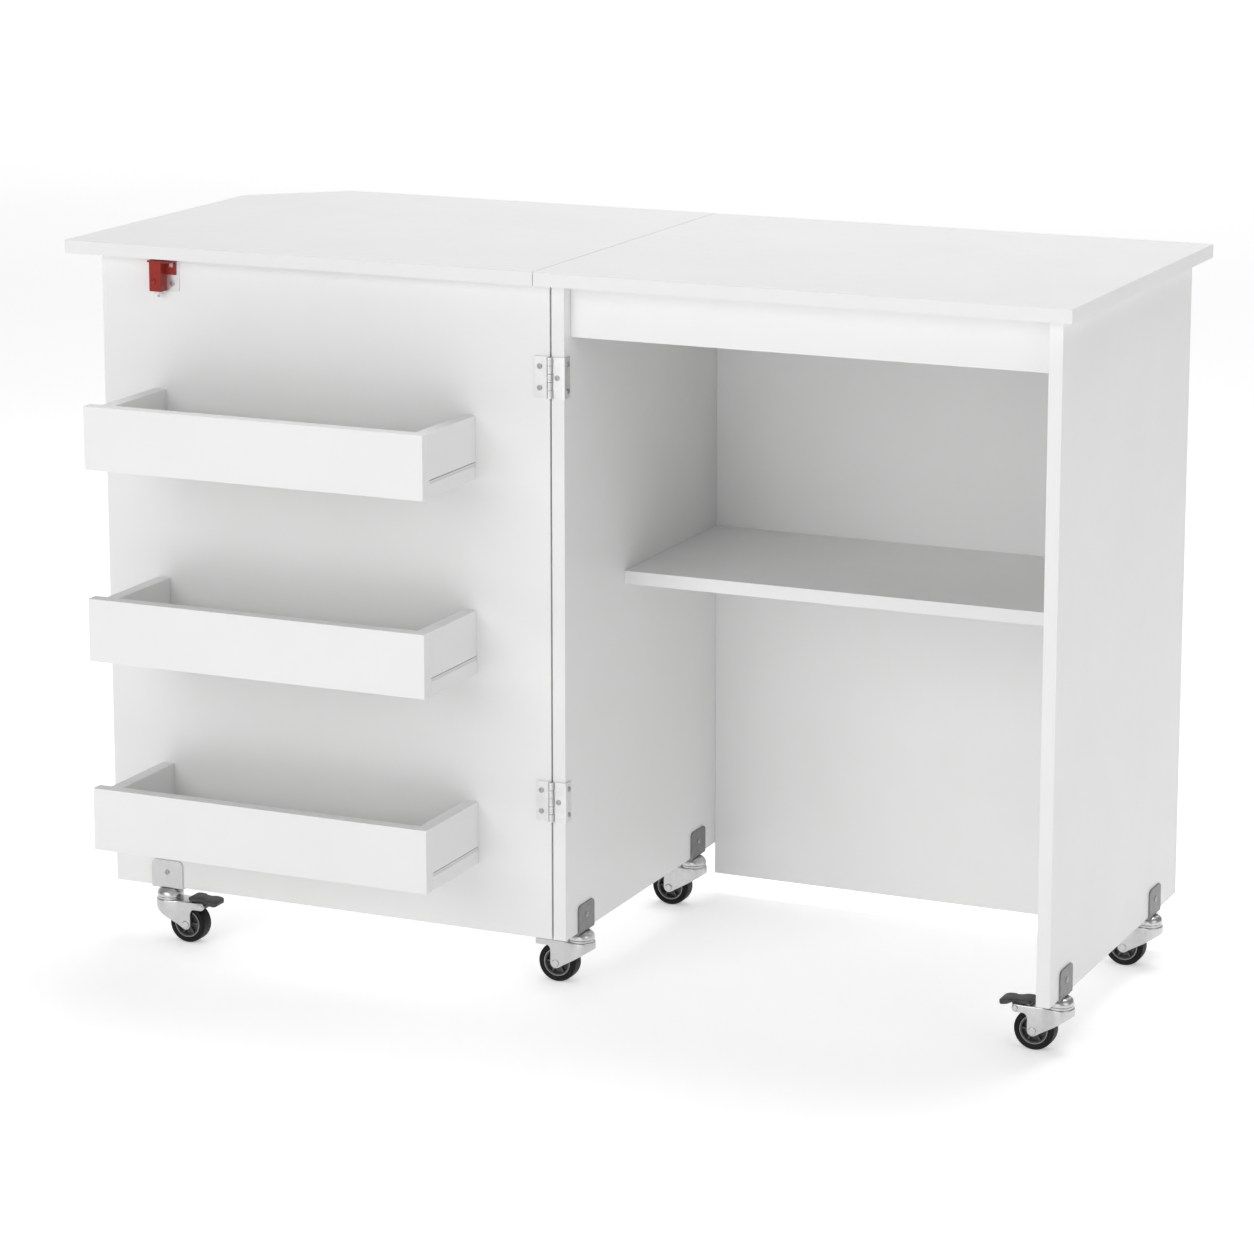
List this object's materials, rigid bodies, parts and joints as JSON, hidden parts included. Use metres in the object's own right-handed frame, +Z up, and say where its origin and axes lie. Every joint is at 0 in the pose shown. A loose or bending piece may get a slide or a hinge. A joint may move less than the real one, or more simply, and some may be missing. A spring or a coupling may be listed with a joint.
{
  "type": "folding sewing table",
  "caption": "White folding sewing table on swivel casters: cabinet with shelf, drop leaf held up by a hinged door that carries three open bins, and a bolt latch.",
  "frame": {"origin": "bottom centre of the whole table's box, on the floor, at rest with the door open and the leaf up", "axes": "+Z up; +X along the worktop from the drop leaf to the cabinet; +Y from the open front with the bins towards the back panel"},
  "size_m": [1.18, 0.605, 0.806],
  "materials": {
    "white_melamine": "white melamine-faced board, satin",
    "white_hardboard": "thin white-faced hardboard",
    "beech": "plain beech dowel",
    "bright_steel": "bright zinc-plated steel",
    "nickel_steel": "nickel-plated steel",
    "red_enamel": "dark red enamel",
    "white_plastic": "white plastic",
    "zinc_bracket": "dull grey zinc-plated steel",
    "zinc_fork": "bright pressed steel, zinc plated",
    "black_rubber": "black rubber tyre",
    "grey_hub": "dark grey plastic wheel centre with a light rim",
    "black_plastic": "black plastic"
  },
  "bodies": {
    "root": {"main_top": "white_melamine", "left_side_panel": "white_melamine", "right_side_panel": "white_melamine", "back_panel": "white_melamine", "front_rail": "white_melamine", "middle_shelf": "white_melamine", "assembly_dowels": "beech", "cam_locks": "bright_steel", "frame_screws": "bright_steel", "door_hinge_frame_leaves": "nickel_steel", "leaf_hinge_fixed_leaves": "nickel_steel", "hinge_pins": "bright_steel", "caster_brackets": "zinc_bracket", "caster_raceways": "zinc_fork"},
    "leaf": {"drop_leaf": "white_melamine", "leaf_hinge_moving_leaves": "nickel_steel", "leaf_screws": "bright_steel"},
    "door": {"door_panel": "white_melamine", "bin_dowels": "beech", "bin_screws": "bright_steel", "door_screws": "bright_steel", "door_hinge_door_leaves": "nickel_steel", "latch_plate": "nickel_steel", "latch_housing": "red_enamel", "latch_bush": "white_plastic", "latch_spring": "bright_steel", "door_caster_bracket": "zinc_fork", "door_caster_raceway": "zinc_fork", "lower_bin_front": "white_melamine", "lower_bin_ends": "white_melamine", "lower_bin_bottom": "white_hardboard", "middle_bin_front": "white_melamine", "middle_bin_ends": "white_melamine", "middle_bin_bottom": "white_hardboard", "upper_bin_front": "white_melamine", "upper_bin_ends": "white_melamine", "upper_bin_bottom": "white_hardboard"},
    "bolt": {"latch_bolt": "bright_steel"},
    "front_left_swivel_body": {"front_left_caster_fork": "zinc_fork", "front_left_caster_axle": "zinc_fork"},
    "front_left_wheel_body": {"front_left_caster_tyre": "black_rubber", "front_left_caster_hub": "grey_hub"},
    "rear_left_swivel_body": {"rear_left_caster_fork": "zinc_fork", "rear_left_caster_axle": "zinc_fork"},
    "rear_left_wheel_body": {"rear_left_caster_tyre": "black_rubber", "rear_left_caster_hub": "grey_hub"},
    "front_right_swivel_body": {"front_right_caster_fork": "zinc_fork", "front_right_caster_axle": "zinc_fork"},
    "front_right_wheel_body": {"front_right_caster_tyre": "black_rubber", "front_right_caster_hub": "grey_hub"},
    "front_right_brake_body": {"front_right_caster_brake_pedal": "black_plastic"},
    "rear_right_swivel_body": {"rear_right_caster_fork": "zinc_fork", "rear_right_caster_axle": "zinc_fork"},
    "rear_right_wheel_body": {"rear_right_caster_tyre": "black_rubber", "rear_right_caster_hub": "grey_hub"},
    "door_swivel_body": {"door_caster_fork": "zinc_fork", "door_caster_axle": "zinc_fork"},
    "door_wheel_body": {"door_caster_tyre": "black_rubber", "door_caster_hub": "grey_hub"},
    "door_brake_body": {"door_caster_brake_pedal": "black_plastic"}
  },
  "joints": [
    {"name": "door_swing", "type": "hinge", "parent": "root", "child": "door", "pos_m": [0.002, -0.1787, 0.4], "axis": [0, 0, 1], "range_deg": [0, 180]},
    {"name": "leaf_lift", "type": "hinge", "parent": "root", "child": "leaf", "pos_m": [-0.011, 0.055, 0.7884], "axis": [0, 1, 0], "range_deg": [0, 2]},
    {"name": "latch_bolt_slide", "type": "slide", "parent": "door", "child": "bolt", "axis": [0, 0, 1], "range_m": [0, 0.008]},
    {"name": "front_left_swivel", "type": "hinge", "parent": "root", "child": "front_left_swivel_body", "pos_m": [0.013, -0.1245, 0.0475], "axis": [0, 0, 1], "continuous": true},
    {"name": "front_left_wheel_roll", "type": "hinge", "parent": "front_left_swivel_body", "child": "front_left_wheel_body", "pos_m": [-0.013, -0.1245, 0.0225], "axis": [0, 1, 0], "continuous": true},
    {"name": "rear_left_swivel", "type": "hinge", "parent": "root", "child": "rear_left_swivel_body", "pos_m": [0.013, 0.1885, 0.0475], "axis": [0, 0, 1], "continuous": true},
    {"name": "rear_left_wheel_roll", "type": "hinge", "parent": "rear_left_swivel_body", "child": "rear_left_wheel_body", "pos_m": [-0.013, 0.1885, 0.0225], "axis": [0, 1, 0], "continuous": true},
    {"name": "front_right_swivel", "type": "hinge", "parent": "root", "child": "front_right_swivel_body", "pos_m": [0.57, -0.1245, 0.0475], "axis": [0, 0, 1], "continuous": true},
    {"name": "front_right_wheel_roll", "type": "hinge", "parent": "front_right_swivel_body", "child": "front_right_wheel_body", "pos_m": [0.544, -0.1245, 0.0225], "axis": [0, 1, 0], "continuous": true},
    {"name": "front_right_brake", "type": "hinge", "parent": "front_right_swivel_body", "child": "front_right_brake_body", "pos_m": [0.5245, -0.1245, 0.0454], "axis": [0, -1, 0], "range_deg": [0, 12]},
    {"name": "rear_right_swivel", "type": "hinge", "parent": "root", "child": "rear_right_swivel_body", "pos_m": [0.57, 0.1885, 0.0475], "axis": [0, 0, 1], "continuous": true},
    {"name": "rear_right_wheel_roll", "type": "hinge", "parent": "rear_right_swivel_body", "child": "rear_right_wheel_body", "pos_m": [0.544, 0.1885, 0.0225], "axis": [0, 1, 0], "continuous": true},
    {"name": "door_swivel", "type": "hinge", "parent": "door", "child": "door_swivel_body", "pos_m": [-0.4845, -0.1705, 0.0475], "axis": [0, 0, 1], "continuous": true},
    {"name": "door_wheel_roll", "type": "hinge", "parent": "door_swivel_body", "child": "door_wheel_body", "pos_m": [-0.4585, -0.1705, 0.0225], "axis": [0, 1, 0], "continuous": true},
    {"name": "door_brake", "type": "hinge", "parent": "door_swivel_body", "child": "door_brake_body", "pos_m": [-0.439, -0.1705, 0.0454], "axis": [0, 1, 0], "range_deg": [0, 12]}
  ]
}
